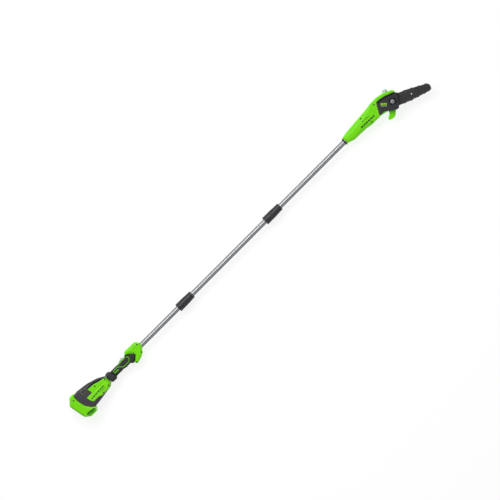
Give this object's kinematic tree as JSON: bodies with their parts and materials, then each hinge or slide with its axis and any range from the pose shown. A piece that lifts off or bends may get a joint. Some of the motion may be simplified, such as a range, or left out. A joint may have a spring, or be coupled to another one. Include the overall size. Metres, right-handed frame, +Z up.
{
  "type": "battery pole saw",
  "caption": "Battery pole saw: handle with trigger and battery, aluminium pole in joined sections, and a saw head with guide bar, chain and branch hook.",
  "frame": {"origin": "point on the flat left side of the battery housing that rests on the ground, straight below the pole's axis", "axes": "+X along the poles towards the saw head, +Y towards the tool's top, +Z up, towards the side with the sprocket cover"},
  "size_m": [2.5028, 0.1964, 0.1],
  "materials": {
    "lime_plastic": "moulded lime green plastic, semi-gloss",
    "grey_plastic": "fine-textured dark grey plastic",
    "black_plastic": "fine-textured near-black plastic",
    "soft_grip": "soft overmoulded grip",
    "clear_grey": "milky translucent grey plastic",
    "aluminium": "satin anodised tube",
    "steel": "machined, lightly oiled",
    "dark_steel": "blackened steel",
    "copper": "enamelled copper windings on laminated steel",
    "board_green": "coated circuit board",
    "rubber": "black rubber"
  },
  "bodies": {
    "handle": {"battery_band": "lime_plastic", "body_shell_right": "grey_plastic", "body_shell_left": "grey_plastic", "side_panel_right": "lime_plastic", "side_panel_left": "lime_plastic", "battery_dock": "black_plastic", "terminal_block": "black_plastic", "control_board": "board_green", "pommel_ring": "black_plastic", "grip_right": "soft_grip", "grip_left": "soft_grip", "guard_right": "lime_plastic", "guard_left": "lime_plastic", "trigger_switch": "black_plastic", "trigger_pin": "steel", "trigger_spring": "steel", "lower_pole": "aluminium", "coupler_1_socket": "black_plastic", "lower_cable": "rubber", "body_screw": "dark_steel", "guard_screw": "dark_steel"},
    "battery": {"battery_pack": "black_plastic"},
    "release_button": {"release_button": "lime_plastic"},
    "trigger": {"trigger": "black_plastic"},
    "lock_off": {"lock_off_button": "clear_grey"},
    "sleeve_1": {"coupler_1_sleeve": "black_plastic"},
    "middle_section": {"middle_pole": "aluminium", "coupler_1_plug": "black_plastic", "coupler_2_socket": "black_plastic", "middle_cable": "rubber"},
    "sleeve_2": {"coupler_2_sleeve": "black_plastic"},
    "head": {"upper_pole": "aluminium", "coupler_2_plug": "black_plastic", "upper_cable": "rubber", "neck_ring": "black_plastic", "head_shell_right": "lime_plastic", "head_shell_left": "lime_plastic", "motor_can": "dark_steel", "motor_plate": "aluminium", "oil_tank": "clear_grey", "branch_hook": "lime_plastic", "bar_stud": "steel", "spindle_bearing": "steel", "head_screw_1": "dark_steel", "head_screw_2": "dark_steel", "head_screw_3": "dark_steel"},
    "rotor": {"motor_rotor": "copper", "pinion": "steel"},
    "spindle": {"spindle": "steel", "face_gear": "steel", "drive_sprocket": "dark_steel"},
    "bar": {"guide_bar": "dark_steel", "saw_chain": "dark_steel", "tension_peg": "steel"},
    "nose_wheel": {"nose_sprocket": "steel"},
    "tension_screw": {"tension_screw": "steel"},
    "cover": {"sprocket_cover": "black_plastic"},
    "nut": {"bar_nut": "steel"},
    "cap_seal": {"oil_cap_seal": "rubber"},
    "oil_cap": {"oil_cap": "clear_grey"}
  },
  "joints": [
    {"name": "battery_slide", "type": "slide", "parent": "handle", "child": "battery", "axis": [-0.9833, -0.1822, 0], "range_m": [0, 0.12]},
    {"name": "release_press", "type": "slide", "parent": "battery", "child": "release_button", "axis": [0.9833, 0.1822, 0], "range_m": [0, 0.0025], "stiffness_N_per_m": 800},
    {"name": "trigger_pull", "type": "hinge", "parent": "handle", "child": "trigger", "pos_m": [0.284, -0.015, 0.05], "axis": [0, 0, -1], "range_deg": [0, 8], "stiffness_Nm_per_rad": 0.6, "deforming": ["trigger_spring"]},
    {"name": "lock_off_press", "type": "slide", "parent": "handle", "child": "lock_off", "axis": [0, -1, 0], "range_m": [0, 0.0035], "stiffness_N_per_m": 500},
    {"name": "sleeve_1_turn", "type": "hinge", "parent": "handle", "child": "sleeve_1", "pos_m": [0.667, 0, 0.05], "axis": [1, 0, 0], "range_deg": [0, 90]},
    {"name": "middle_slide", "type": "slide", "parent": "handle", "child": "middle_section", "axis": [1, 0, 0], "range_m": [0, 0.035]},
    {"name": "sleeve_2_turn", "type": "hinge", "parent": "middle_section", "child": "sleeve_2", "pos_m": [1.305, 0, 0.05], "axis": [1, 0, 0], "range_deg": [0, 90]},
    {"name": "head_slide", "type": "slide", "parent": "middle_section", "child": "head", "axis": [1, 0, 0], "range_m": [0, 0.035]},
    {"name": "spindle_spin", "type": "hinge", "parent": "head", "child": "spindle", "pos_m": [2.1646, -0.0082, 0.05], "axis": [0, 0, 1], "continuous": true},
    {"name": "rotor_spin", "type": "hinge", "parent": "head", "child": "rotor", "pos_m": [2, -0.0082, 0.05], "axis": [1, 0, 0], "continuous": true},
    {"name": "bar_slide", "type": "slide", "parent": "head", "child": "bar", "axis": [-0.9212, 0.3891, 0], "range_m": [0, 0.003]},
    {"name": "tension_turn", "type": "hinge", "parent": "head", "child": "tension_screw", "pos_m": [2.15954, -0.02017, 0.061], "axis": [0.9212, -0.3891, 0], "range_deg": [0, 1080]},
    {"name": "nose_spin", "type": "hinge", "parent": "bar", "child": "nose_wheel", "pos_m": [2.38937, -0.10315, 0.068], "axis": [0, 0, 1], "continuous": true},
    {"name": "cover_lift", "type": "slide", "parent": "head", "child": "cover", "axis": [0, 0, 1], "range_m": [0, 0.06]},
    {"name": "nut_turn", "type": "hinge", "parent": "cover", "child": "nut", "pos_m": [2.21048, -0.02758, 0.09], "axis": [0, 0, 1], "continuous": true},
    {"name": "cap_lift", "type": "slide", "parent": "head", "child": "cap_seal", "axis": [0.3987, 0.9171, 0], "range_m": [0, 0.03]},
    {"name": "cap_turn", "type": "hinge", "parent": "cap_seal", "child": "oil_cap", "pos_m": [2.219, 0.0315, 0.042], "axis": [0.3987, 0.9171, 0], "range_deg": [0, 360]}
  ],
  "couplings": [
    {"joint": "rotor_spin", "follows": "spindle_spin", "ratio": -4},
    {"joint": "nose_spin", "follows": "spindle_spin", "ratio": 1},
    {"joint": "tension_turn", "follows": "bar_slide", "rad_per_m": 6283.2}
  ]
}
